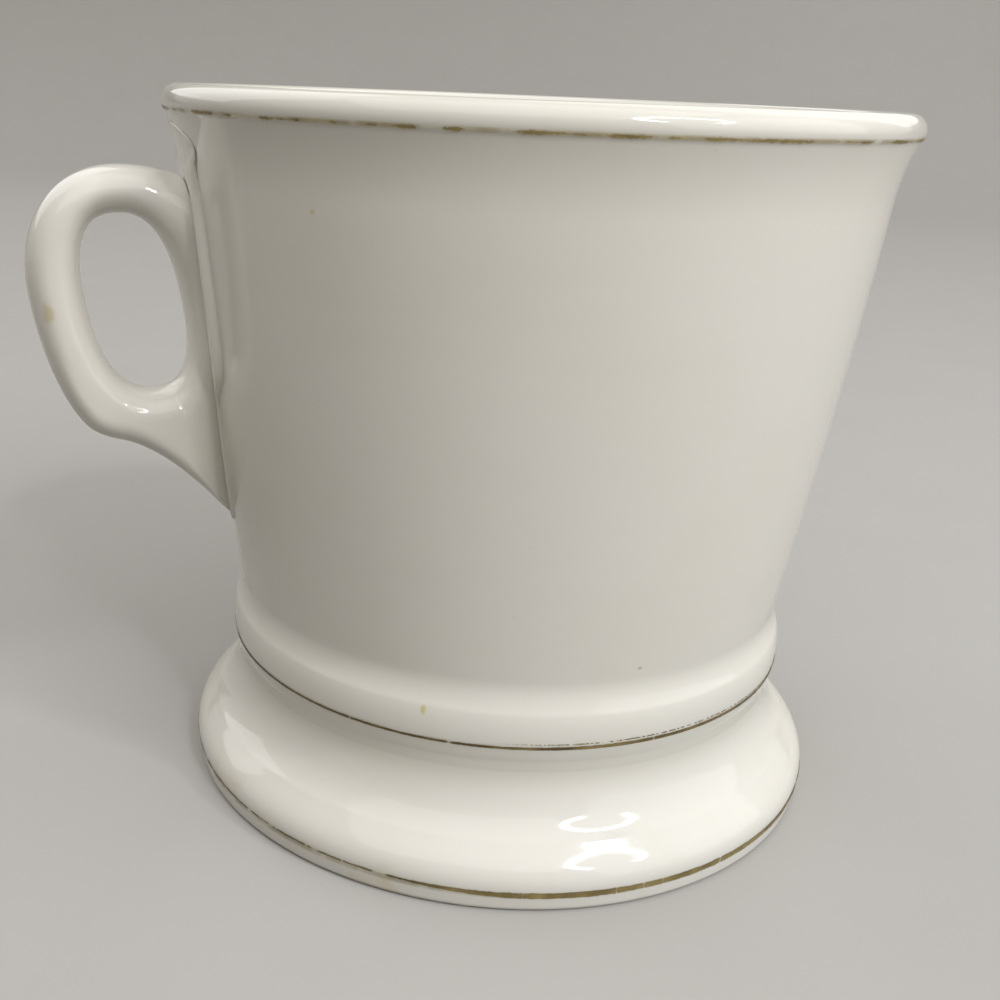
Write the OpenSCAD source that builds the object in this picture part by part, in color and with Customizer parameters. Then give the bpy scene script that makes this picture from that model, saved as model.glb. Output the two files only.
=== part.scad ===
// Footed shaving mug of glazed porcelain: a jiggered bowl on a hollow pedestal foot, with a cast loop handle
// luted to the wall by slip, and gilt lines at the lip, waist and foot. Millimetres, +Z up, origin at the
// centre of the foot ring's flat, handle along -X.

/* [Bowl] */
// Height of the whole mug, from the foot ring to the rim
mug_h = 89; // [80:0.5:100]
// Widest radius of the rolled lip
lip_r = 46.1; // [44.5:0.1:50]
// Radius of the roll's rounding in section
lip_round = 1.9; // [1:0.1:2.2]
// Height of the concave flare under the roll
flare_h = 7.5; // [5:0.1:12]
// How far the lip stands out past the wall where the flare starts
lip_overhang = 2.3; // [1.8:0.1:5]
// Outer radius of the wall where it meets the waist bead
wall_low_r = 36.95; // [35:0.05:39]
// Depth of the lip's inner rounding
lip_in_h = 5; // [3:0.1:7]
// Outward bow of the wall at mid height
wall_bow = 0.4; // [0:0.05:1]
// Thickness of the wall
wall_t = 3.6; // [2.5:0.1:5]
// Thickness of the bowl's floor
floor_t = 4.6; // [3:0.1:7]
// Inside rounding between floor and wall
floor_round = 8; // [4:0.5:14]

/* [Waist] */
// Height of the joint between bowl and foot
waist_z = 15.8; // [13:0.1:20]
// Radius of the neck at that joint
neck_r = 37.4; // [34:0.1:40]
// Height of the bead's lower edge above the joint
bead_edge_h = 2.5; // [2:0.1:5]
// Radius of the bead's lower edge
bead_edge_r = 38.2; // [37:0.05:42]
// Height of the bead from its lower edge to the crease with the wall
bead_h = 6.3; // [4:0.1:10]
// How far the bead swells past its lower edge
bead_swell = 0.35; // [0.1:0.05:1.5]
// Thickness of the slip ring in the joint
slip_ring_t = 0.5; // [0.2:0.1:1.2]
// Width of the slip ring in the joint
slip_ring_w = 4.6; // [3:0.1:6]

/* [Foot] */
// Widest radius of the rolled foot edge
foot_r = 43.7; // [41:0.1:48]
// Height of the foot edge's widest point
foot_edge_z = 3; // [2:0.1:5]
// Tuck of the foot's side under its widest point
foot_tuck = 0.2; // [0:0.05:0.6]
// Height where the cove turns into the roll
cove_z = 7.6; // [5.5:0.1:9]
// Radius where the cove turns into the roll
cove_r = 40.8; // [39:0.1:43]
// Width of the flat, unglazed foot ring
ring_w = 3.2; // [2:0.1:5]
// Rounding of the foot ring's edges
ring_round = 0.8; // [0.3:0.1:1.5]

/* [Handle] */
// Depth of the loop's crown below the rim
crown_drop = 9.1; // [7:0.1:13]
// Depth below the rim where the loop's upper side meets the wall
root_drop = 10.4; // [9:0.1:15]
// Distance of the crown from the wall
crown_out = 7.4; // [3:0.1:9]
// Reach of the loop outwards from the wall
reach = 20; // [15:0.1:24]
// Depth of the loop's farthest point below the rim
reach_drop = 23.6; // [19:0.1:29]
// Depth below the rim of the heel, where the loop turns into the tail
heel_drop = 39.7; // [36:0.1:43]
// Distance of the heel from the wall
heel_out = 16.6; // [12:0.1:19]
// Rounding of the heel
heel_round = 3.5; // [1.5:0.1:4]
// Arch of the tail's underside over a straight line
tail_arch = 3; // [1:0.1:4]
// Width of the tail's tip
tail_tip_w = 1; // [0.6:0.1:3]
// Depth of the tail's tip below the rim
tail_drop = 53.3; // [47:0.1:55]
// Width of the finger hole
hole_w = 11.2; // [8:0.1:12]
// Height of the finger hole
hole_h = 21.2; // [16:0.1:22]
// Depth of the finger hole's centre below the rim
hole_drop = 25.3; // [22:0.1:27]
// Lean of the finger hole, away from the wall's own slope
hole_lean = 3.5; // [0:0.5:10]
// Thickness of the web between hole and wall
web_t = 1.9; // [1:0.05:3]
// Squareness of the finger hole, where 2 is an ellipse
hole_square = 2.5; // [2:0.1:3]
// Width of the loop across the finger
loop_w = 9; // [7:0.1:12]
// Width of the broad root on the wall
root_w = 12.6; // [10:0.1:18]
// Rounding of the root's upper corners
root_round = 5.5; // [3:0.1:6]
// How far the root's flare runs out from the wall
root_flare = 4.6; // [3:0.1:6]
// Rounding of the loop's edges
loop_round = 3; // [2:0.1:3.5]

/* [Slip seam] */
// Thickness of the slip bed behind the handle
bed_t = 0.3; // [0.2:0.05:0.8]
// Height of the slip bead that stands proud beside the handle
bead_t = 1.1; // [0.7:0.05:1.6]
// Width of the slip bead beside the root
bead_w = 4.6; // [2.5:0.1:5.5]
// Width of the slip bead at the root's top
bead_top_w = 2.9; // [2:0.1:5]
// Width of the thin seam beside the tail
seam_w = 0.8; // [0.4:0.1:1.5]
// Height of the thin seam beside the tail
seam_t = 0.4; // [0.3:0.05:0.6]
// Width of the groove between the handle and the slip bead
groove_w = 0.4; // [0.3:0.05:0.8]
// Depth below the rim where the slip bead thins out to the seam
bead_low_drop = 35; // [29:0.5:39]
// Length over which it thins out
bead_fade = 4; // [3:0.5:10]
// Rise of the leaf-shaped end above the loop's root
leaf_rise = 6.2; // [5:0.1:7]
// Height of the leaf's rounded end
leaf_h = 3; // [2:0.1:3.5]
// Depth of the neck under the leaf-shaped end
leaf_neck = 0.7; // [0.3:0.1:1.5]
// Thickness of the leaf-shaped end
leaf_t = 0.35; // [0.2:0.05:0.8]
// Half width of the leaf-shaped end
leaf_half_w = 10.7; // [9:0.1:14]

/* [Gilding] */
// Thickness of the gilding as modelled
gilt_t = 0.1; // [0.06:0.01:0.2]
// Width of the lip line
lip_gilt_w = 0.8; // [0.4:0.1:1.2]
// Width of the waist line
waist_gilt_w = 0.6; // [0.3:0.1:1]
// Width of the foot line
foot_gilt_w = 1.2; // [0.4:0.1:1.6]

/* [Hidden] */
$fn = 96;
porcelain = "#ece8de";
slip = "#e0d9c8";
gold = "#8c7238";
// Gap between surfaces that are luted or fired together
fit_gap = 0.05;

// Angle of the roll's lower edge, seen from the roll's centre
roll_start = -40;
roll_mid = [lip_r - lip_round, mug_h - lip_round];
wall_top_r = lip_r - lip_overhang;
lip_low = roll_mid + lip_round * [cos(roll_start), sin(roll_start)];
flare_z = lip_low.y - flare_h;
flare_power = 2.2;
// Above 1, the crest of the slip bead stands nearer its outer edge than the handle
bead_power = 2.2;
bead_edge_z = waist_z + bead_edge_h;
crease_z = bead_edge_z + bead_h;
floor_z = waist_z + floor_t;
foot_top_z = waist_z - slip_ring_t;
seat = bed_t + 2 * fit_gap;
crown_z = mug_h - crown_drop;
root_z = mug_h - root_drop;
reach_z = mug_h - reach_drop;
heel_z = mug_h - heel_drop;
tail_z = mug_h - tail_drop;
hole_z = mug_h - hole_drop;
bead_low_z = mug_h - bead_low_drop;

// Point on a cubic Bezier curve, and the curve as a list without its first point
function bezier_at(p, t) = pow(1 - t, 3) * p[0] + 3 * t * pow(1 - t, 2) * p[1]
    + 3 * t * t * (1 - t) * p[2] + pow(t, 3) * p[3];
function bezier(p, n) = [for (i = [1:n]) bezier_at(p, i / n)];
function arc(c, r, from, to, n) = [for (i = [1:n]) let (a = mix(from, to, i / n)) c + r * [cos(a), sin(a)]];
function mix(a, b, t) = a + (b - a) * t;
function ramp(lo, hi, x) = let (t = min(1, max(0, (x - lo) / (hi - lo)))) t * t * (3 - 2 * t);
// A curve's points shifted to its right-hand side
function shifted(p, d) = [for (i = [0:len(p) - 1])
    let (v = p[min(i + 1, len(p) - 1)] - p[max(i - 1, 0)]) p[i] + d * [v.y, -v.x] / norm(v)];
function reversed(p) = [for (i = [len(p) - 1:-1:0]) p[i]];

// Outer radius of the wall and flare at a height
function wall_line(z) = let (u = (z - crease_z) / (flare_z - crease_z))
    mix(wall_low_r, wall_top_r, u) + 4 * wall_bow * u * (1 - u);
flare_out = lip_low.x - wall_line(lip_low.y);
function outer_r(z) = wall_line(z) + flare_out * pow(max(0, z - flare_z) / flare_h, flare_power);

bead_curve = [[bead_edge_r, bead_edge_z], [bead_edge_r + bead_swell, bead_edge_z + 0.36 * bead_h],
              [bead_edge_r, bead_edge_z + 0.78 * bead_h], [wall_low_r, crease_z]];

module bowl() {
    rise_steps = 18;
    flare_steps = 12;
    lip_in_z = mug_h - lip_in_h;
    lip_in_r = wall_line(lip_in_z) - wall_t;
    lip_in = [[lip_in_r, lip_in_z], [lip_in_r + 0.08 * lip_in_h, mug_h - 0.4 * lip_in_h],
              [lip_in_r + 0.2 * lip_in_h, mug_h], [roll_mid.x, mug_h]];
    inner_low_z = floor_z + floor_round;
    inner_low_r = wall_line(inner_low_z) - wall_t;
    color(porcelain) rotate_extrude() polygon(concat(
        [[0, waist_z], [neck_r, waist_z], [bead_edge_r, bead_edge_z]],
        bezier(bead_curve, 12),
        [for (i = [1:rise_steps]) let (z = mix(crease_z, flare_z, i / rise_steps)) [outer_r(z), z]],
        [for (i = [1:flare_steps]) let (z = mix(flare_z, lip_low.y, i / flare_steps)) [outer_r(z), z]],
        arc(roll_mid, lip_round, roll_start, 90, 14),
        reversed(bezier(lip_in, 8)),
        [for (i = [0:rise_steps]) let (z = mix(lip_in_z, inner_low_z, i / rise_steps))
            [wall_line(z) - wall_t, z]],
        arc([inner_low_r - floor_round, inner_low_z], floor_round, 0, -90, 8),
        [[0, floor_z]]));
}

foot_inner_r = neck_r - slip_ring_w;
cove_curve = [[neck_r, foot_top_z], [neck_r, mix(cove_z, foot_top_z, 0.55)],
              [mix(neck_r, cove_r, 0.35), mix(cove_z, foot_top_z, 0.22)], [cove_r, cove_z]];
roll_curve = [[cove_r, cove_z], [mix(cove_r, foot_r, 0.5), mix(foot_edge_z, cove_z, 0.68)],
              [foot_r, mix(foot_edge_z, cove_z, 0.45)], [foot_r, foot_edge_z]];
base_r = foot_r - foot_tuck;

module pedestal_foot() {
    ring_in_r = base_r - ring_round - ring_w;
    hollow = [[ring_in_r - ring_round, ring_round], [ring_in_r - ring_round, mix(0, foot_top_z, 0.4)],
              [foot_inner_r, mix(0, foot_top_z, 0.5)], [foot_inner_r, foot_top_z]];
    color(porcelain) rotate_extrude() polygon(concat(
        [[foot_inner_r, foot_top_z], [neck_r, foot_top_z]],
        bezier(cove_curve, 12),
        bezier(roll_curve, 12),
        [[base_r, ring_round]],
        arc([base_r - ring_round, ring_round], ring_round, 0, -90, 6),
        [[ring_in_r, 0]],
        arc([ring_in_r, ring_round], ring_round, -90, -180, 6),
        [for (i = [1:9]) bezier_at(hollow, i / 10)]));
}

module foot_slip_joint() {
    color(slip) translate([0, 0, foot_top_z]) difference() {
        cylinder(h = slip_ring_t, r = neck_r);
        translate([0, 0, -1]) cylinder(h = slip_ring_t + 2, r = foot_inner_r);
    }
}

// The handle is worked out in its own plane as [distance from the wall, height], so that it follows the wall
hole_c = [seat + web_t + hole_w / 2, hole_z];
function hole_edge(a) = hole_c + [cos(a), sin(a)] / pow(
    pow(abs(2 * cos(a + hole_lean) / hole_w), hole_square) + pow(abs(2 * sin(a + hole_lean) / hole_h), hole_square),
    1 / hole_square);
heel_end = [heel_out - heel_round, heel_z - 0.69 * heel_round];
tail_tip = [seat, tail_z];
wall_steps = 28;
outline = concat(
    [for (i = [0:wall_steps]) [seat, mix(tail_z, root_z, i / wall_steps)]],
    bezier([[seat, root_z], [mix(seat, crown_out, 0.28), mix(root_z, crown_z, 0.7)],
            [mix(seat, crown_out, 0.6), crown_z], [crown_out, crown_z]], 7),
    bezier([[crown_out, crown_z], [mix(crown_out, reach, 0.57), crown_z],
            [reach, mix(reach_z, crown_z, 0.58)], [reach, reach_z]], 14),
    bezier([[reach, reach_z], [reach, mix(heel_z, reach_z, 0.67)],
            [mix(heel_out, reach, 0.69), mix(heel_z, reach_z, 0.22)], [heel_out, heel_z]], 9),
    bezier([[heel_out, heel_z], [heel_out, heel_z] - heel_round * [0.2, 0.38],
            heel_end + heel_round * [0.45, 0.14], heel_end], 4),
    [for (i = [1:12]) bezier_at([heel_end, mix(heel_end, tail_tip, 0.29) + [0, 0.9 * tail_arch],
                                 mix(heel_end, tail_tip, 0.65) + [0, 1.1 * tail_arch], tail_tip], i / 13)]);

// Half width of the root on the wall, and of the flank at any place in the handle's plane
function root_span(z) = let (u = min(1, max(0, (z - tail_z) / (root_z - root_round - tail_z))))
    mix(tail_tip_w, root_w, u * (1.4 - 0.4 * u)) / 2;
function root_half(z) = let (corner = min(1, max(0, (z - root_z + root_round) / root_round)))
    root_span(z) - root_round * (1 - sqrt(1 - corner * corner));
function flank_half(q) = mix(root_half(q.y), loop_w / 2, ramp(seat, seat + root_flare, q.x));
function edge_round(e) = sqrt(max(0, 1 - pow(1 - min(1, e / loop_round), 2)));
// Share of a flat back in the section: whole along the wall, none on the free loop
function back_share(q) = 1 - ramp(seat, seat + 0.68 * root_flare, q.x);

section_n = 28;
back_start = 115;
// One point of the section from the hole's edge to the outline: [distance from the wall, height, side]
function section_point(o, a) = let (
    turn = a > 180 ? 360 - a : a,
    share = back_share(o),
    inner = hole_edge(atan2(o.y - hole_c.y, o.x - hole_c.x)),
    open_s = (1 - cos(turn)) / 2,
    back_s = 1 - cos(min(90, 90 * turn / back_start)),
    q = mix(inner, o, mix(open_s, back_s, share)),
    from_hole = edge_round(norm(q - inner)),
    open_y = from_hole * edge_round(norm(o - q)),
    back_y = from_hole * min(1, (180 - turn) / (180 - back_start)),
    y = flank_half(q) * mix(open_y, back_y, share))
    [q.x, q.y, a > 180 ? -y : y];
// Place of a point of the handle or seam: out from the wall, to the side and up
function on_wall(d, y, z) = [-sqrt(pow(outer_r(z) + d, 2) - y * y), y, z];

module handle() {
    stations = len(outline);
    points = [for (o = outline) for (j = [0:section_n - 1])
        let (p = section_point(o, 360 * j / section_n)) on_wall(p[0], p[2], p[1])];
    faces = [for (i = [0:stations - 1]) for (j = [0:section_n - 1]) let (
        k = (i + 1) % stations, m = (j + 1) % section_n,
        a = i * section_n + j, b = i * section_n + m, c = k * section_n + m, d = k * section_n + j)
        each [[a, b, c], [a, c, d]]];
    color(porcelain) polyhedron(points, faces);
}

leaf_top_z = root_z + leaf_rise;
leaf_z = leaf_top_z - leaf_h;
seam_low_z = tail_z - seam_w;
// Share of the full slip bead at a height
function bead_share(z) = ramp(bead_low_z - bead_fade / 2, bead_low_z + bead_fade / 2, z);
neck_z = mix(root_z, leaf_z, 0.5);
function bead_span(z) = mix(bead_w, bead_top_w, ramp(bead_low_z + bead_fade, root_z, z));
function seam_half(z) = z > leaf_z
    ? max(seam_w, leaf_half_w * sqrt(max(0, 1 - pow((z - leaf_z) / leaf_h, 2))))
    : mix(root_span(z) + mix(seam_w, bead_span(z), bead_share(z)), leaf_half_w, ramp(neck_z, leaf_z, z))
      - leaf_neck * (1 - ramp(0, leaf_z - neck_z, abs(z - neck_z)))
      - seam_w * (1 - ramp(seam_low_z, tail_z, z));
// Half width of the thin bed, out to the groove beside the handle and drawn in at both ends of the seam
function bed_half(z) = mix(seam_w / 4, root_half(z) + groove_w,
    ramp(seam_low_z, tail_z, z) - ramp(leaf_z, leaf_top_z, z));
// Thickness of the slip: a thin bed under the handle, a proud bead beside it and the leaf above it
function slip_thick(z, y) = let (
    half = seam_half(z),
    across = min(1, max(0, (abs(y) - bed_half(z)) / (half - bed_half(z)))),
    proud = bead_share(z) * (1 - 0.45 * ramp(root_z - root_round, root_z, z)),
    beside = mix(bed_t, mix(seam_t, bead_t, proud), sin(180 * pow(across, bead_power))),
    above = mix(bed_t, leaf_t, sqrt(max(0, 1 - pow(y / half, 2)))))
    mix(beside, above, ramp(neck_z, leaf_z, z));

module handle_slip_seam() {
    rows = 44;
    cols = 24;
    leaf_rows = 8;
    function row_z(i) = i < rows - leaf_rows ? mix(seam_low_z, leaf_z, i / (rows - leaf_rows))
        : leaf_z + leaf_h * sin(90 * (i - rows + leaf_rows) / leaf_rows);
    // The bed takes the middle half of the columns, and each bead a quarter
    function side(z, t) = sign(t)
        * mix(bed_half(z) * min(1, 2 * abs(t)), seam_half(z), max(0, 2 * abs(t) - 1));
    function place(i, j, top) = let (z = row_z(i), y = side(z, 2 * j / cols - 1))
        on_wall(fit_gap + (top ? slip_thick(z, y) : 0), y, z);
    step = cols + 1;
    under = (rows + 1) * step;
    points = concat([for (i = [0:rows]) for (j = [0:cols]) place(i, j, true)],
                    [for (i = [0:rows]) for (j = [0:cols]) place(i, j, false)]);
    // Side edges, then the two broad faces, then the lower and upper ends
    faces = concat(
        [for (i = [0:rows - 1]) let (a = i * step, b = a + step)
            each [[a, b, under + b], [a, under + b, under + a], [a + cols, under + b + cols, b + cols],
                  [a + cols, under + a + cols, under + b + cols]]],
        [for (i = [0:rows - 1]) for (j = [0:cols - 1]) let (a = i * step + j, b = a + step)
            each [[a, b + 1, b], [a, a + 1, b + 1], [under + a, under + b, under + b + 1],
                  [under + a, under + b + 1, under + a + 1]]],
        [for (j = [0:cols - 1]) let (a = rows * step + j)
            each [[j, under + j + 1, j + 1], [j, under + j, under + j + 1],
                  [a, a + 1, under + a + 1], [a, under + a + 1, under + a]]]);
    color(slip) polyhedron(points, faces);
}

// A gilt line lies on the glaze along part of the outline
module gilt_line(path) {
    color(gold) rotate_extrude()
        polygon(concat(shifted(path, fit_gap), reversed(shifted(path, fit_gap + gilt_t))));
}

module lip_gilding() {
    span = lip_gilt_w / lip_round * 180 / PI;
    gilt_line(arc(roll_mid, lip_round, roll_start, roll_start + span, 6));
}

module waist_gilding() {
    share = waist_gilt_w / bead_h;
    gilt_line([for (i = [0:4]) bezier_at(bead_curve, 0.02 + share * i / 4)]);
}

module foot_gilding() {
    gilt_line([for (i = [-4:0]) [mix(foot_r, base_r, -0.08 * i), foot_edge_z + foot_gilt_w * i / 4]]);
}

bowl();
pedestal_foot();
foot_slip_joint();
handle();
handle_slip_seam();
lip_gilding();
waist_gilding();
foot_gilding();
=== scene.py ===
import math

import bpy
from mathutils import Matrix, Vector


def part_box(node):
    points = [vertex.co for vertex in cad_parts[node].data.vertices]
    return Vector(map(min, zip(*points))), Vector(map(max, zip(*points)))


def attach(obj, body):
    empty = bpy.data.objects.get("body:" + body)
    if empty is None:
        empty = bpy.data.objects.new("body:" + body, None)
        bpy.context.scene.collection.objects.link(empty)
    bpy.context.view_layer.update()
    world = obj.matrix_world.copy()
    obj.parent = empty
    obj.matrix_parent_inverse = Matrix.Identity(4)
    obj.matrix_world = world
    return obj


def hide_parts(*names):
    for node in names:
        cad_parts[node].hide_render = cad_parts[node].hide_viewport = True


# Glazed porcelain shaving mug: spun bowl and foot, loop handle on its slip seam, worn gilt lines
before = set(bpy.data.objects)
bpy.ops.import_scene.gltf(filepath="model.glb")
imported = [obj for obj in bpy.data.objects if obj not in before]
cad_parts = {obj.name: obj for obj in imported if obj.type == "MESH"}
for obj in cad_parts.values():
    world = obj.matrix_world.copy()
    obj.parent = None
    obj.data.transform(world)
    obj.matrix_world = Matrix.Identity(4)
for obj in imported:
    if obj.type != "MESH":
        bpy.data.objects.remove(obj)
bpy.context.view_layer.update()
mm = 0.001
spinSteps = 288  # the same round the bowl, foot and gilding, so that their facets line up
weldDistance = 0.004 * mm  # points nearer than this are one
creaseAngle = math.radians(40)  # a sharper edge than this stays sharp on a spun piece
quadFold = math.radians(80)  # how far two facets may fold or skew and still become a quad
quadSkew = math.radians(120)
print("frame loaded:", ", ".join(sorted(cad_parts)))


def deselectAll():
    bpy.ops.object.select_all(action="DESELECT")


def mix(a, b, share):
    return a + (b - a) * share


def bezier(corners, count):
    a, b, c, d = (Vector(corner) for corner in corners)
    curve = []
    for i in range(1, count + 1):
        t = i / count
        curve.append((1 - t) ** 3 * a + 3 * t * (1 - t) ** 2 * b + 3 * t * t * (1 - t) * c + t ** 3 * d)
    return curve


def arc(centre, radius, start, end, count):
    turns = [math.radians(mix(start, end, i / count)) for i in range(1, count + 1)]
    return [Vector(centre) + radius * Vector((math.cos(a), math.sin(a))) for a in turns]


def shifted(path, distance):
    # the path moved to its right-hand side
    moved = []
    for i, point in enumerate(path):
        along = Vector(path[min(i + 1, len(path) - 1)]) - Vector(path[max(i - 1, 0)])
        moved.append(Vector(point) + distance * Vector((along.y, -along.x)).normalized())
    return moved


def spinPiece(name, outline):
    # one vertex is drawn out along the outline (radius, height), then spun round the axis
    deselectAll()
    bpy.ops.mesh.primitive_plane_add(size=mm)
    piece = bpy.context.object
    piece.name = piece.data.name = name
    bpy.ops.object.mode_set(mode="EDIT")
    bpy.ops.mesh.select_all(action="SELECT")
    bpy.ops.mesh.merge(type="CENTER")
    bpy.ops.transform.translate(value=(outline[0][0], 0, outline[0][1]))
    for here, there in zip(outline, outline[1:]):
        step = (there[0] - here[0], 0, there[1] - here[1])
        bpy.ops.mesh.extrude_region_move(TRANSFORM_OT_translate={"value": step})
    bpy.ops.mesh.select_all(action="SELECT")
    bpy.ops.mesh.spin(steps=spinSteps, angle=math.tau, center=(0, 0, 0), axis=(0, 0, 1))
    bpy.ops.mesh.select_all(action="SELECT")
    bpy.ops.mesh.remove_doubles(threshold=weldDistance)
    bpy.ops.mesh.normals_make_consistent(inside=False)
    bpy.ops.object.mode_set(mode="OBJECT")
    bpy.ops.object.shade_smooth_by_angle(angle=creaseAngle)
    return piece


def selectPoints(piece, isWanted):
    # leaves the piece in edit mode, with only the wanted points selected
    bpy.ops.object.mode_set(mode="EDIT")
    bpy.ops.mesh.select_mode(type="VERT")
    bpy.ops.mesh.select_all(action="DESELECT")
    bpy.ops.object.mode_set(mode="OBJECT")
    for vertex in piece.data.vertices:
        vertex.select = isWanted(vertex.co)
    bpy.ops.object.mode_set(mode="EDIT")


def luteOn(piece, low, high, reach, depth):
    # points that lie within reach of the bowl's wall are drawn in, so that no gap shows where slip fused
    def isSeated(point):
        return low < point.z < high and math.hypot(point.x, point.y) - outerWall(point.z) < reach

    selectPoints(piece, isSeated)
    share = 1 - depth / bowl["wallTopRadius"]
    bpy.ops.transform.resize(value=(share, share, 1), center_override=(0, 0, 0))
    bpy.ops.object.mode_set(mode="OBJECT")


def wipeSlip(piece, low, high, rounds):
    # a stretch of the slip is wiped round, as with a wet finger
    selectPoints(piece, lambda point: low < point.z < high)
    bpy.ops.mesh.vertices_smooth(factor=0.5, repeat=rounds)
    bpy.ops.object.mode_set(mode="OBJECT")


def smoothCopy(nodeName, name, settings):
    # a merged copy of a solid's facets, luted to the wall, turned back into quads, subdivided and wiped
    deselectAll()
    piece = bpy.data.objects.new(name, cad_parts[nodeName].data.copy())
    bpy.context.scene.collection.objects.link(piece)
    piece.select_set(True)
    bpy.context.view_layer.objects.active = piece
    bpy.ops.object.mode_set(mode="EDIT")
    bpy.ops.mesh.select_all(action="SELECT")
    bpy.ops.mesh.remove_doubles(threshold=weldDistance)
    bpy.ops.mesh.customdata_custom_splitnormals_clear()
    bpy.ops.object.mode_set(mode="OBJECT")
    for seat in settings["seats"]:
        luteOn(piece, **seat)
    bpy.ops.object.mode_set(mode="EDIT")
    bpy.ops.mesh.select_all(action="SELECT")
    bpy.ops.mesh.tris_convert_to_quads(face_threshold=quadFold, shape_threshold=quadSkew)
    bpy.ops.object.mode_set(mode="OBJECT")
    rounding = piece.modifiers.new("rounding", "SUBSURF")
    rounding.levels = rounding.render_levels = settings["levels"]
    bpy.ops.object.modifier_apply(modifier=rounding.name)
    for span in settings["wiped"]:
        wipeSlip(piece, **span)
    bpy.ops.object.shade_smooth_by_angle(angle=math.pi)
    return piece


def finishPiece(piece, nodeName, material):
    piece.data.materials.clear()
    piece.data.materials.append(material)
    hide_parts(nodeName)
    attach(piece, "root")
    print("made", piece.name, "with", len(piece.data.polygons), "faces")


class Shade:
    # a shader socket that Python's operators work on
    def __init__(self, tree, socket=None):
        self.tree = tree
        self.socket = socket

    def node(self, kind, settings=None, links=None, output=0):
        made = self.tree.nodes.new(kind)
        for name, value in (settings or {}).items():
            setattr(made, name, value)
        for name, value in (links or {}).items():
            if isinstance(value, Shade):
                self.tree.links.new(value.socket, made.inputs[name])
            else:
                made.inputs[name].default_value = value
        return Shade(self.tree, made.outputs[output])

    def math(self, operation, first, second=0.0):
        return self.node("ShaderNodeMath", {"operation": operation}, {0: first, 1: second})

    def __add__(self, other):
        return self.math("ADD", self, other)

    def __radd__(self, other):
        return self.math("ADD", other, self)

    def __sub__(self, other):
        return self.math("SUBTRACT", self, other)

    def __rsub__(self, other):
        return self.math("SUBTRACT", other, self)

    def __mul__(self, other):
        return self.math("MULTIPLY", self, other)

    def __rmul__(self, other):
        return self.math("MULTIPLY", other, self)

    def __truediv__(self, other):
        return self.math("DIVIDE", self, other)

    def __abs__(self):
        return self.math("ABSOLUTE", self)

    def most(self, other):
        return self.math("MAXIMUM", self, other)

    def noise(self, scale, detail=2.0, roughness=0.5):
        return self.node("ShaderNodeTexNoise", {}, {
            "Vector": self, "Scale": scale, "Detail": detail, "Roughness": roughness})

    def ramp(self, low, high):
        # 0 below low, 1 above high, smooth between
        return self.node("ShaderNodeMapRange", {"interpolation_type": "SMOOTHSTEP"}, {
            "Value": self, "From Min": low, "From Max": high})

    def blend(self, share, first, second):
        # sockets 6 and 7 are the two colours
        return self.node("ShaderNodeMix", {"data_type": "RGBA"}, {
            "Factor": share, 6: first, 7: second}, output=2)

    def tint(self, share, colour):
        return self.blend(share, self, colour)

    def stretched(self, factors):
        return self.node("ShaderNodeVectorMath", {"operation": "MULTIPLY"}, {0: self, 1: factors})

    def towards(self, direction):
        return self.node("ShaderNodeVectorMath", {"operation": "DOT_PRODUCT"},
                         {0: self, 1: direction}, output=1)

    def distance(self, place):
        return self.node("ShaderNodeVectorMath", {"operation": "DISTANCE"}, {0: self, 1: place}, output=1)

    def part(self, axis):
        return self.node("ShaderNodeSeparateXYZ", {}, {0: self}, output="XYZ".index(axis))


def newMaterial(name):
    material = bpy.data.materials.new(name)
    material.use_nodes = True
    shader = material.node_tree.nodes["Principled BSDF"]
    paint = Shade(material.node_tree)
    place = paint.node("ShaderNodeTexCoord", output="Object")
    return material, shader, paint, place


def feed(paint, shader, links, settings):
    for name, value in settings.items():
        shader.inputs[name].default_value = value
    for name, value in links.items():
        paint.tree.links.new(value.socket, shader.inputs[name])


glaze = {
    "white": (0.80, 0.785, 0.74, 1),
    "cream": (0.765, 0.735, 0.65, 1),
    "cool": (0.775, 0.785, 0.765, 1),
    # a darker glaze tone: round the neck under the bead it is painted shade as well as pooled glaze, and it
    # also darkens the pits
    "pooled": (0.66, 0.645, 0.57, 1),
    "mottleScale": 26,
    "mottleRange": (0.4, 0.72),
    "creamShare": 0.5,
    "driftScale": 11.7,
    "driftRange": (0.5, 0.75),
    "coolShare": 0.6,
    # the band round the neck where painted shade and pooled glaze darken the colour: its height, reach and
    # share
    "poolShadeHeight": 15 * mm,
    "poolShadeReach": 3 * mm,
    "poolShadeShare": 0.55,
    "roughness": 0.045,
    "roughScale": 90,
    "roughVary": 0.04,
    "peelScale": 420,
    "peelRelief": 0.16,
    "waveScale": 70,
    "ringScale": 330,
    "ringStretch": (0.12, 0.12, 1),
    "ringRelief": 0.5,
    "pitScale": 160,
    "pitRadius": 0.035,
    "pitShare": 0.35,
    "pitRelief": 0.4,
    "smudge": (0.70, 0.62, 0.42, 1),
    "smudgeScale": 95,
    "smudgeRange": (0.54, 0.72),
    "smudgeTop": 9 * mm,
    "smudgeShare": 0.6,
    "stainEdgeScale": 1300,
    "bump": 0.05,
    "gritScale": 2600,
    "gritShare": 0.3,
    "gritRelief": 0.5,
    "biscuit": (0.66, 0.60, 0.50, 1),
    "biscuitTop": 0.3 * mm,
    "biscuitRough": 0.6,
}
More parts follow.
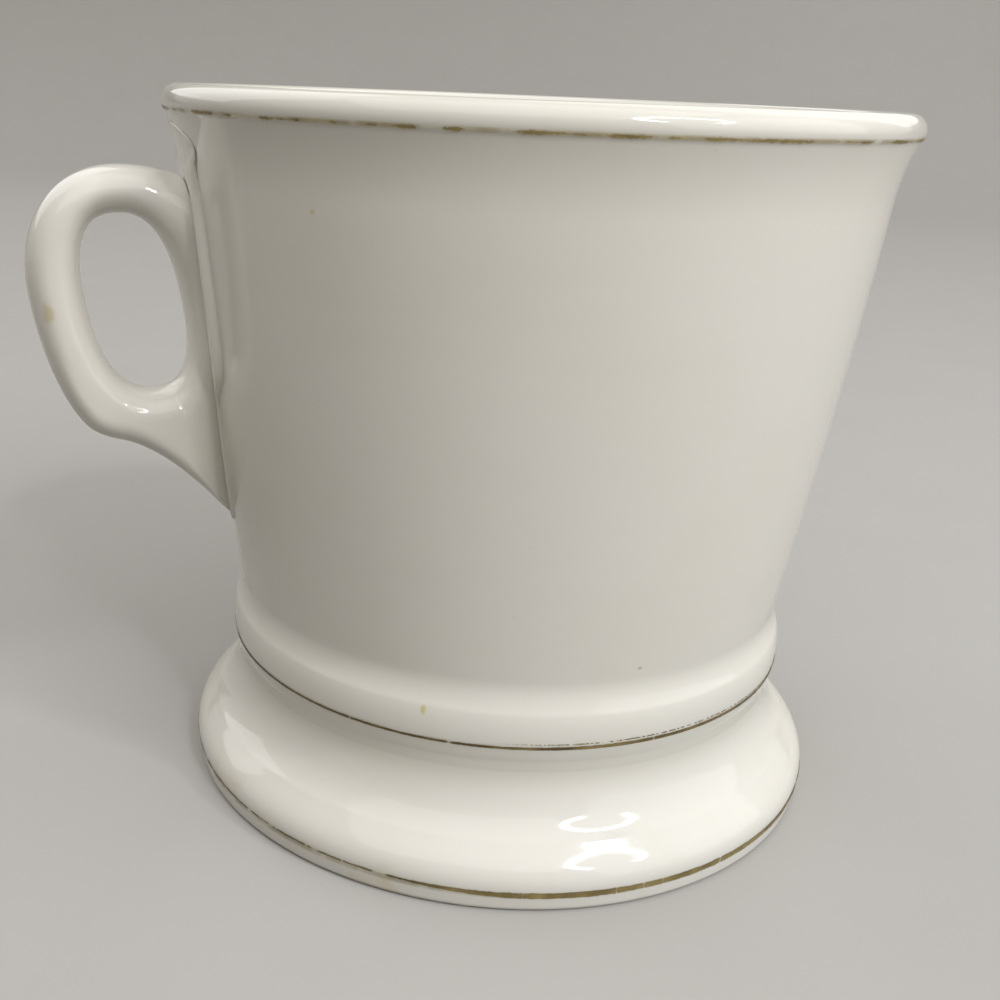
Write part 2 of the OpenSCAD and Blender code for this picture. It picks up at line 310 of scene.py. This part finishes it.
# where the glaze has taken a stain: place and radius in millimetres, how tall it is for its width
stains = [
    {"place": (-60.1, -4.0, 63.1), "radius": 1.05, "tall": 1.7,
     "colour": (0.62, 0.53, 0.26, 1), "strength": 0.6},
    {"place": (-21.1, -31.75, 22.1), "radius": 0.5, "tall": 1.7,
     "colour": (0.64, 0.55, 0.18, 1), "strength": 0.8},
    {"place": (-33.6, -27.8, 77.5), "radius": 0.45, "tall": 1,
     "colour": (0.66, 0.58, 0.30, 1), "strength": 0.7},
    {"place": (3.0, -37.3, 27.7), "radius": 0.4, "tall": 0.6,
     "colour": (0.22, 0.24, 0.21, 1), "strength": 0.6},
]


def glazedPorcelain(name, stained=(), bareFoot=False):
    material, shader, paint, place = newMaterial(name)
    height = place.part("Z")
    mottle = place.noise(glaze["mottleScale"], 3)
    drift = place.noise(glaze["driftScale"], 2)
    creamy = mottle.ramp(*glaze["mottleRange"]) * glaze["creamShare"]
    colour = paint.blend(creamy, glaze["white"], glaze["cream"])
    colour = colour.tint(drift.ramp(*glaze["driftRange"]) * glaze["coolShare"], glaze["cool"])
    # painted shade and pooled glaze: a darker band round the neck, in the crease under the bead's overhang
    poolShade = 1 - abs(height - glaze["poolShadeHeight"]).ramp(0, glaze["poolShadeReach"])
    colour = colour.tint(poolShade * glaze["poolShadeShare"], glaze["pooled"])
    smudged = place.noise(glaze["smudgeScale"], 4, 0.6).ramp(*glaze["smudgeRange"])
    nearBase = 1 - height.ramp(0, glaze["smudgeTop"])
    colour = colour.tint(smudged * nearBase * glaze["smudgeShare"], glaze["smudge"])
    for stain in stained:
        squeeze = Vector((1, 1, 1 / stain["tall"]))
        middle = Vector(stain["place"]) * mm * squeeze
        radius = stain["radius"] * mm
        uneven = (place.noise(glaze["stainEdgeScale"], 3) - 0.5) * (0.8 * radius)
        edge = place.stretched(squeeze).distance(middle) + uneven
        colour = colour.tint((1 - edge.ramp(0.3 * radius, radius)) * stain["strength"], stain["colour"])
    pits = paint.node("ShaderNodeTexVoronoi", {}, {"Vector": place, "Scale": glaze["pitScale"]})
    pitted = 1 - pits.ramp(0.3 * glaze["pitRadius"], glaze["pitRadius"])
    colour = colour.tint(pitted * glaze["pitShare"], glaze["pooled"])
    rough = glaze["roughness"] + place.noise(glaze["roughScale"], 3) * glaze["roughVary"]
    peel = place.noise(glaze["peelScale"], 2) * glaze["peelRelief"]
    rings = place.stretched(glaze["ringStretch"]).noise(glaze["ringScale"], 2) * glaze["ringRelief"]
    relief = peel + rings + place.noise(glaze["waveScale"], 2) - pitted * glaze["pitRelief"]
    if bareFoot:
        bare = 1 - height.ramp(glaze["biscuitTop"] * 0.7, glaze["biscuitTop"])
        grit = place.noise(glaze["gritScale"], 4, 0.7)
        sandy = 1 - glaze["gritShare"] + grit * glaze["gritShare"]
        colour = colour.tint(bare * sandy, glaze["biscuit"])
        rough = rough + bare * glaze["biscuitRough"]
        relief = relief + bare * grit * glaze["gritRelief"]
    bump = paint.node("ShaderNodeBump", {}, {
        "Strength": glaze["bump"], "Distance": 1 * mm, "Height": relief})
    feed(paint, shader, {"Base Color": colour, "Roughness": rough, "Normal": bump}, {
        "IOR": 1.52, "Subsurface Weight": 0.1, "Subsurface Radius": (1.0, 0.85, 0.6),
        "Subsurface Scale": 1.0 * mm})
    return material


gilt = {
    "bright": (0.56, 0.45, 0.19, 1),
    "dull": (0.13, 0.095, 0.045, 1),
    "roughness": 0.28,
    "roughVary": 0.3,
    "keptTurn": math.radians(-50),
    "dashMix": 0.65,
    "raggedScale": 2600,
    "swellScale": 700,
    "swell": 0.5,
    "rubScale": 1100,
    "rubRange": (0.5, 0.78),
    "nickScale": 1000,
    "nickRange": (0.63, 0.68),
    "dotScale": 2600,
    "dotRange": (0.44, 0.54),
    "dotHalf": 0.1,
    "dotStrength": 0.75,
    "traceScale": 240,
    "traceRange": (0.3, 0.6),
    "traceHalf": 0.5,
    "toneScale": 260,
    "toneRange": (0.3, 0.75),
    "toneVary": 0.5,
    "thinShine": 0.7,
}
# the side that kept more of its gold
lessWorn = Vector((math.cos(gilt["keptTurn"]), math.sin(gilt["keptTurn"]), 0))


def wornGilding(name, line):
    # the line narrows and breaks along its run, more so on its worn side
    material, shader, paint, place = newMaterial(name)
    around = place.stretched((1, 1, 0))
    across = (place.part("Z") - line["low"]) / line["width"]
    kept = place.towards(lessWorn / line["radius"]).ramp(line["wornSide"], line["keptSide"])
    dashes = around.noise(line["dashScale"], 3)
    runs = around.noise(line["dashScale"] * 0.25, 2)
    stretches = dashes * gilt["dashMix"] + runs * (1 - gilt["dashMix"])
    ragged = place.noise(gilt["raggedScale"], 4, 0.65)
    whole = (stretches + kept * line["keptGain"]).ramp(line["gap"], line["gap"] + line["fade"])
    half = whole * (line["thinHalf"] + kept * (line["fullHalf"] - line["thinHalf"]))
    half = half * (1 + (around.noise(gilt["swellScale"], 2) - 0.5) * gilt["swell"])
    centre = line["thinCentre"] + kept * (line["fullCentre"] - line["thinCentre"])
    film = (half - abs(across - centre + (ragged - 0.5) * line["ragged"])).ramp(0, line["soft"])
    rubbed = 1 - place.noise(gilt["rubScale"], 3, 0.6).ramp(*gilt["rubRange"]) * line["rubbed"]
    nicks = 1 - around.noise(gilt["nickScale"], 2).ramp(*gilt["nickRange"]) * line["nicked"]
    film = film * rubbed * nicks
    if "dotAcross" in line:
        dots = around.noise(gilt["dotScale"], 1).ramp(*gilt["dotRange"]) * kept
        dotted = (gilt["dotHalf"] - abs(across - line["dotAcross"])).ramp(0, 0.7 * gilt["dotHalf"])
        film = film.most(dotted * dots * gilt["dotStrength"])
    # where the gold is gone, a faint warm trace of it stays in the glaze
    trace = (gilt["traceHalf"] - abs(across - line["traceCentre"])).ramp(0, 0.9 * gilt["traceHalf"])
    patches = around.noise(gilt["traceScale"], 3).ramp(*gilt["traceRange"])
    film = film.most(trace * patches * line["trace"])
    tone = place.noise(gilt["toneScale"], 4, 0.6).ramp(*gilt["toneRange"]) * gilt["toneVary"]
    tone = tone + kept * line["keptShine"] + line["wornShine"] + (1 - film) * gilt["thinShine"]
    colour = paint.blend(tone, gilt["dull"], gilt["bright"])
    rough = gilt["roughness"] + ragged * gilt["roughVary"]
    feed(paint, shader, {"Base Color": colour, "Roughness": rough, "Alpha": film}, {"Metallic": 0.75})
    return material


porcelain = glazedPorcelain("glazedPorcelain", stains[1:])
handlePorcelain = glazedPorcelain("glazedPorcelainHandle", stains[:1])
footPorcelain = glazedPorcelain("glazedPorcelainBareRing", bareFoot=True)
slipGlaze = glazedPorcelain("glazedSlip")
print("porcelain mixed")

bowl = {
    "lipRadius": max(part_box("bowl")[1].x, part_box("bowl")[1].y),
    "rimHeight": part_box("bowl")[1].z,
    "waistHeight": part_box("bowl")[0].z,
    "lipRound": 1.9 * mm,
    "rollStart": -40,
    "flareHeight": 7.5 * mm,
    "flarePower": 2.2,
    "wallTopRadius": 43.8 * mm,
    "wallLowRadius": 36.95 * mm,
    "wallBow": 0.4 * mm,
    "wallThick": 3.6 * mm,
    "lipInside": 5 * mm,
    "floorThick": 4.6 * mm,
    "floorRound": 8 * mm,
    "neckRadius": 37.4 * mm,
    "beadEdgeRise": 2.5 * mm,
    "beadEdgeRadius": 38.2 * mm,
    "beadHeight": 6.3 * mm,
    "beadSwell": 0.35 * mm,
    "creaseSoft": 1.9 * mm,
}
rollCentre = Vector((bowl["lipRadius"] - bowl["lipRound"], bowl["rimHeight"] - bowl["lipRound"]))
lipLow = arc(rollCentre, bowl["lipRound"], bowl["rollStart"], bowl["rollStart"], 1)[0]
flareStart = lipLow.y - bowl["flareHeight"]
beadEdgeHeight = bowl["waistHeight"] + bowl["beadEdgeRise"]
creaseHeight = beadEdgeHeight + bowl["beadHeight"]
floorHeight = bowl["waistHeight"] + bowl["floorThick"]


def wallLine(z):
    share = (z - creaseHeight) / (flareStart - creaseHeight)
    bow = 4 * bowl["wallBow"] * share * (1 - share)
    return mix(bowl["wallLowRadius"], bowl["wallTopRadius"], share) + bow


flareOut = lipLow.x - wallLine(lipLow.y)


def outerWall(z):
    return wallLine(z) + flareOut * (max(0, z - flareStart) / bowl["flareHeight"]) ** bowl["flarePower"]


beadCorners = [
    (bowl["beadEdgeRadius"], beadEdgeHeight),
    (bowl["beadEdgeRadius"] + bowl["beadSwell"], beadEdgeHeight + 0.36 * bowl["beadHeight"]),
    (bowl["beadEdgeRadius"], beadEdgeHeight + 0.78 * bowl["beadHeight"]),
    (bowl["wallLowRadius"], creaseHeight)]


def bowlOutline():
    riseSteps = 40
    flareSteps = 22
    leastStep = 0.2 * mm
    lipInHeight = bowl["rimHeight"] - bowl["lipInside"]
    lipInRadius = wallLine(lipInHeight) - bowl["wallThick"]
    innerLow = floorHeight + bowl["floorRound"]
    cornerCentre = (wallLine(innerLow) - bowl["wallThick"] - bowl["floorRound"], innerLow)
    rings = 5
    under = [Vector((bowl["neckRadius"] * i / rings, bowl["waistHeight"])) for i in range(rings + 1)]
    rise = [mix(creaseHeight, flareStart, i / riseSteps) for i in range(1, riseSteps + 1)]
    flare = [mix(flareStart, lipLow.y, i / flareSteps) for i in range(1, flareSteps + 1)]
    lipIn = [(lipInRadius, lipInHeight),
             (lipInRadius + 0.08 * bowl["lipInside"], bowl["rimHeight"] - 0.4 * bowl["lipInside"]),
             (lipInRadius + 0.2 * bowl["lipInside"], bowl["rimHeight"]),
             (rollCentre.x, bowl["rimHeight"])]
    fall = [mix(lipInHeight, innerLow, i / riseSteps) for i in range(riseSteps + 1)]
    crease = Vector(beadCorners[3])
    bead = [point for point in bezier(beadCorners, 40) if point.y < creaseHeight - bowl["creaseSoft"]]
    wallStart = Vector((outerWall(creaseHeight + bowl["creaseSoft"]), creaseHeight + bowl["creaseSoft"]))
    pooled = bezier([bead[-1], bead[-1].lerp(crease, 0.75), wallStart.lerp(crease, 0.6), wallStart], 14)
    rise = [z for z in rise if z > wallStart.y + leastStep]
    return (under + [Vector(beadCorners[0])] + bead + pooled
            + [Vector((outerWall(z), z)) for z in rise + flare]
            + arc(rollCentre, bowl["lipRound"], bowl["rollStart"], 90, 24)
            + bezier(lipIn[::-1], 16)[:-1]
            + [Vector((wallLine(z) - bowl["wallThick"], z)) for z in fall]
            + arc(cornerCentre, bowl["floorRound"], 0, -90, 14)
            + [Vector((cornerCentre[0] * (1 - i / rings), floorHeight)) for i in range(1, rings + 1)])


finishPiece(spinPiece("bowl_glazed", bowlOutline()), "bowl", porcelain)

foot = {
    "edgeRadius": max(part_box("pedestal_foot")[1].x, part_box("pedestal_foot")[1].y),
    "topHeight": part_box("pedestal_foot")[1].z,
    "edgeHeight": 3 * mm,
    "tuck": 0.2 * mm,
    "coveHeight": 7.6 * mm,
    "coveRadius": 40.8 * mm,
    "ringWidth": 3.2 * mm,
    "ringRound": 0.8 * mm,
    "jointWidth": 4.6 * mm,
}
footInner = bowl["neckRadius"] - foot["jointWidth"]
baseRadius = foot["edgeRadius"] - foot["tuck"]
coveCorners = [
    (bowl["neckRadius"], foot["topHeight"]),
    (bowl["neckRadius"], mix(foot["coveHeight"], foot["topHeight"], 0.55)),
    (mix(bowl["neckRadius"], foot["coveRadius"], 0.35), mix(foot["coveHeight"], foot["topHeight"], 0.22)),
    (foot["coveRadius"], foot["coveHeight"])]
rollCorners = [
    (foot["coveRadius"], foot["coveHeight"]),
    (mix(foot["coveRadius"], foot["edgeRadius"], 0.5), mix(foot["edgeHeight"], foot["coveHeight"], 0.68)),
    (foot["edgeRadius"], mix(foot["edgeHeight"], foot["coveHeight"], 0.45)),
    (foot["edgeRadius"], foot["edgeHeight"])]


def footOutline():
    ringIn = baseRadius - foot["ringRound"] - foot["ringWidth"]
    hollowRadius = ringIn - foot["ringRound"]
    hollow = [(hollowRadius, foot["ringRound"]), (hollowRadius, 0.4 * foot["topHeight"]),
              (footInner, 0.5 * foot["topHeight"]), (footInner, foot["topHeight"])]
    top = [Vector((footInner, foot["topHeight"])), Vector((bowl["neckRadius"], foot["topHeight"]))]
    return (top + bezier(coveCorners, 26) + bezier(rollCorners, 24)
            + [Vector((baseRadius, foot["ringRound"]))]
            + arc((baseRadius - foot["ringRound"], foot["ringRound"]), foot["ringRound"], 0, -90, 8)
            + [Vector((ringIn, 0))]
            + arc((ringIn, foot["ringRound"]), foot["ringRound"], -90, -180, 8) + bezier(hollow, 18))


finishPiece(spinPiece("foot_glazed", footOutline()), "pedestal_foot", footPorcelain)

joint = {"wiped": 0.7 * mm, "proudLow": 0.05 * mm, "proudHigh": 0.06 * mm, "sunk": 0.02 * mm}


def jointOutline():
    # the slip is wiped smooth over both edges of the joint
    low, high = (corner.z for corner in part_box("foot_slip_joint"))
    wiped = joint["wiped"]
    neck = bowl["neckRadius"]
    lowEnd = (neck - joint["sunk"], low - wiped)
    underBead = mix(neck, bowl["beadEdgeRadius"], wiped / bowl["beadEdgeRise"])
    highEnd = (underBead - joint["sunk"], high + wiped)
    outer = bezier([lowEnd, (neck + joint["proudLow"], low), (neck + joint["proudHigh"], high), highEnd], 14)
    start = Vector((footInner, low))
    return [start, Vector(lowEnd)] + outer + [Vector((footInner, high)), start]


finishPiece(spinPiece("joint_slip", jointOutline()), "foot_slip_joint", slipGlaze)

leafLow = 79.8 * mm  # the leaf-shaped end starts here and stays proud of the wall
# the handle's back and the seam's underside are sunk a little, as fired pieces are
handle = {
    "levels": 2,
    "seats": [{"low": 0, "high": bowl["rimHeight"], "reach": 0.45 * mm, "depth": 0.35 * mm}],
    "wiped": [],
}
seam = {
    "levels": 1,
    "seats": [
        {"low": 0, "high": leafLow, "reach": 0.365 * mm, "depth": 0.32 * mm},
        {"low": leafLow, "high": bowl["rimHeight"], "reach": 1 * mm, "depth": 0.08 * mm},
    ],
    "wiped": [
        {"low": 30 * mm, "high": 40 * mm, "rounds": 6},
        {"low": 50 * mm, "high": 58 * mm, "rounds": 6},
        {"low": 77 * mm, "high": bowl["rimHeight"], "rounds": 8},
    ],
}
finishPiece(smoothCopy("handle", "handle_glazed", handle), "handle", handlePorcelain)
finishPiece(smoothCopy("handle_slip_seam", "seam_slip", seam), "handle_slip_seam", slipGlaze)

gilding = {"clear": 0.03 * mm, "thick": 0.05 * mm, "lipRun": 0.8 * mm, "footWidth": 1.2 * mm}
lipLine = {
    "radius": bowl["lipRadius"], "low": lipLow.y, "width": 0.75 * mm,
    "dashScale": 330, "gap": 0.42, "fade": 0.2, "wornSide": -1.0, "keptSide": 1.0, "keptGain": 0.05,
    "keptShine": 0.4, "wornShine": -0.25, "thinHalf": 0.44, "fullHalf": 0.4,
    "thinCentre": 0.45, "fullCentre": 0.45,
    "ragged": 0.5, "soft": 0.5, "rubbed": 0.85, "nicked": 0.5, "trace": 0.26, "traceCentre": 0.5,
}
waistLine = {
    "radius": bowl["beadEdgeRadius"], "low": beadEdgeHeight, "width": 1.0 * mm,
    "dashScale": 420, "gap": 0.28, "fade": 0.05, "wornSide": 0.45, "keptSide": 0.8, "keptGain": 0.04,
    "keptShine": 0.3, "wornShine": -0.25, "thinHalf": 0.2, "fullHalf": 0.27,
    "thinCentre": 0.22, "fullCentre": 0.24,
    "ragged": 0.18, "soft": 0.12, "rubbed": 0.35, "nicked": 0.8, "trace": 0.14, "traceCentre": 0.25,
    "dotAcross": 0.78,
}
footLine = {
    "radius": foot["edgeRadius"], "low": foot["edgeHeight"] - gilding["footWidth"],
    "width": gilding["footWidth"],
    "dashScale": 300, "gap": 0.36, "fade": 0.1, "wornSide": 0.2, "keptSide": 0.62, "keptGain": 0.2,
    "keptShine": 0.5, "wornShine": -0.2, "thinHalf": 0.17, "fullHalf": 0.4,
    "thinCentre": 0.78, "fullCentre": 0.55,
    "ragged": 0.3, "soft": 0.2, "rubbed": 0.5, "nicked": 0.85, "trace": 0.2, "traceCentre": 0.55,
}


def giltBand(name, path, nodeName, line):
    band = shifted(path, gilding["clear"]) + shifted(path, gilding["clear"] + gilding["thick"])[::-1]
    finishPiece(spinPiece(name, band + band[:1]), nodeName, wornGilding(name + "_gold", line))


lipSpan = math.degrees(gilding["lipRun"] / bowl["lipRound"])
lipPath = [lipLow] + arc(rollCentre, bowl["lipRound"], bowl["rollStart"], bowl["rollStart"] + lipSpan, 8)
giltBand("lip_line", lipPath, "lip_gilding", lipLine)
waistTop = beadEdgeHeight + waistLine["width"]
waistPath = [point for point in bezier(beadCorners, 160) if point.y < waistTop][::2]
giltBand("waist_line", waistPath, "waist_gilding", waistLine)
footSteps = 6
footTucked = 0.48  # share of the foot's tuck that the line covers
footPath = []
for i in range(footSteps, -1, -1):
    radius = mix(foot["edgeRadius"], baseRadius, footTucked * i / footSteps)
    footPath.append(Vector((radius, foot["edgeHeight"] - footLine["width"] * i / footSteps)))
giltBand("foot_line", footPath, "foot_gilding", footLine)
print("gilding laid")

view = {
    "turn": -21.0,
    "distance": 157.03 * mm,
    "height": 89.82 * mm,
    "pitch": 19.36,
    "yaw": -4.37,
    "roll": -2.366,
    "lens": 42.452,
    "sensor": 36,
    "shiftAside": 0.0757,
    "nearest": 10 * mm,
}
turnedView = Matrix.Rotation(math.radians(view["turn"]), 4, "Z")


def addCamera():
    bpy.ops.object.camera_add()
    camera = bpy.context.object
    camera.data.sensor_width = view["sensor"]
    camera.data.lens = view["lens"]
    camera.data.shift_x = view["shiftAside"]
    camera.data.clip_start = view["nearest"]
    yaw, pitch, roll = (math.radians(view[key]) for key in ("yaw", "pitch", "roll"))
    right = Vector((math.cos(yaw), -math.sin(yaw), 0))
    up = Vector((math.sin(yaw) * math.sin(pitch), math.cos(yaw) * math.sin(pitch), math.cos(pitch)))
    ahead = Vector((math.sin(yaw) * math.cos(pitch), math.cos(yaw) * math.cos(pitch), -math.sin(pitch)))
    tiltedRight = math.cos(roll) * right - math.sin(roll) * up
    tiltedUp = math.sin(roll) * right + math.cos(roll) * up
    aim = Matrix((tiltedRight, tiltedUp, -ahead)).transposed().to_4x4()
    aim.translation = (0, -view["distance"], view["height"])
    camera.matrix_world = turnedView @ aim
    bpy.context.scene.camera = camera


addCamera()

stage = {
    "size": 3.0,
    "height": 1.4,
    "sweep": 0.6,
    "sweepSteps": 24,
    "fleckScale": 35,
    "fleckRange": (0.35, 0.75),
    "fleckShare": 0.2,
    "colour": (0.47, 0.465, 0.455, 1),
    "flecks": (0.43, 0.425, 0.415, 1),
    "bounced": (0.15, 0.145, 0.135, 1),
}


def seenRays(paint):
    return sum((paint.node("ShaderNodeLightPath", output=f"Is {ray} Ray")
                for ray in ("Camera", "Glossy", "Transmission")), 0.0)


def floorPaper():
    # pale where it is seen or mirrored, and darker in the light that it throws back on the mug
    material, shader, paint, place = newMaterial("floorPaper")
    flecked = place.noise(stage["fleckScale"], 4).ramp(*stage["fleckRange"]) * stage["fleckShare"]
    pale = paint.blend(flecked, stage["colour"], stage["flecks"])
    colour = paint.blend(seenRays(paint), stage["bounced"], pale)
    feed(paint, shader, {"Base Color": colour}, {"Roughness": 0.85})
    return material


def layPaper():
    # a sheet of paper that sweeps up behind the mug, square to the view
    deselectAll()
    bpy.ops.mesh.primitive_plane_add(size=stage["size"])
    paper = bpy.context.object
    paper.name = "paper_sweep"
    bpy.ops.object.mode_set(mode="EDIT")
    bpy.ops.mesh.select_mode(type="EDGE")
    bpy.ops.mesh.select_all(action="DESELECT")
    bpy.ops.object.mode_set(mode="OBJECT")
    half = stage["size"] / 2
    for edge in paper.data.edges:
        edge.select = all(paper.data.vertices[i].co.y > 0.9 * half for i in edge.vertices)
    bpy.ops.object.mode_set(mode="EDIT")
    bpy.ops.mesh.extrude_region_move(TRANSFORM_OT_translate={"value": (0, 0, stage["height"])})
    bpy.ops.mesh.select_all(action="DESELECT")
    bpy.ops.object.mode_set(mode="OBJECT")
    for edge in paper.data.edges:
        ends = [paper.data.vertices[i].co for i in edge.vertices]
        edge.select = all(end.y > 0.9 * half and end.z < 0.1 * stage["height"] for end in ends)
    bpy.ops.object.mode_set(mode="EDIT")
    bpy.ops.mesh.bevel(offset=stage["sweep"], segments=stage["sweepSteps"], affect="EDGES")
    bpy.ops.mesh.select_all(action="SELECT")
    bpy.ops.transform.rotate(value=-math.radians(view["turn"]), orient_axis="Z", center_override=(0, 0, 0))
    bpy.ops.object.mode_set(mode="OBJECT")
    bpy.ops.object.shade_smooth()
    paper.data.materials.append(floorPaper())


layPaper()

lamps = [
    {"name": "rightSoftbox", "place": (1.15, -0.4, 0.42), "size": 1.6, "power": 7.2},
    {"name": "overheadSoftbox", "place": (-0.08, -0.45, 1.05), "size": 1.5, "power": 6.9},
    {"name": "backLeftSoftbox", "place": (-0.95, 0.6, 0.85), "size": 1.2, "power": 5.6},
    {"name": "backRightSoftbox", "place": (0.6, 1.0, 0.85), "size": 1.2, "power": 4.0},
]
archLamp = {
    "place": (0.57, -0.57, 0.62),
    "halfWidth": 0.2,
    "rise": 0.19,
    "turns": (-45, 225),
    "count": 22,
    "size": 0.045,
    "power": 4.7,
}
room = {"colour": (1.0, 0.86, 0.62, 1), "strength": 0.2, "seen": (0.5, 0.495, 0.48, 1)}
aimAt = Vector((0, 0, 0.045))


def addLamp(name, place, size, power, shape):
    bpy.ops.object.light_add(type="AREA", location=place)
    light = bpy.context.object
    light.name = name
    light.data.shape = shape
    light.data.size = size
    light.data.energy = power
    light.rotation_euler = (aimAt - place).to_track_quat("-Z", "Y").to_euler()


def addLamps():
    for lamp in lamps:
        addLamp(lamp["name"], turnedView @ Vector(lamp["place"]), lamp["size"], lamp["power"], "SQUARE")
    # an arch of small discs, which glints as a bow on the roll and upside down in the cove
    centre = turnedView @ Vector(archLamp["place"])
    facing = (aimAt - centre).to_track_quat("-Z", "Y")
    for i in range(archLamp["count"]):
        turn = math.radians(mix(*archLamp["turns"], i / (archLamp["count"] - 1)))
        spot = Vector((archLamp["halfWidth"] * math.cos(turn), archLamp["rise"] * math.sin(turn), 0))
        share = archLamp["power"] / archLamp["count"]
        addLamp("archLamp", centre + facing @ spot, archLamp["size"], share, "DISK")
    # the room's fill is warm and low, and pale where it is seen or mirrored
    world = bpy.data.worlds.new("studio")
    bpy.context.scene.world = world
    world.use_nodes = True
    paint = Shade(world.node_tree)
    low = [part * room["strength"] for part in room["colour"][:3]] + [1]
    colour = paint.blend(seenRays(paint), low, room["seen"])
    feed(paint, world.node_tree.nodes["Background"], {"Color": colour}, {"Strength": 1})


addLamps()
bpy.context.scene.view_settings.view_transform = "Standard"
print("camera and lamps set")
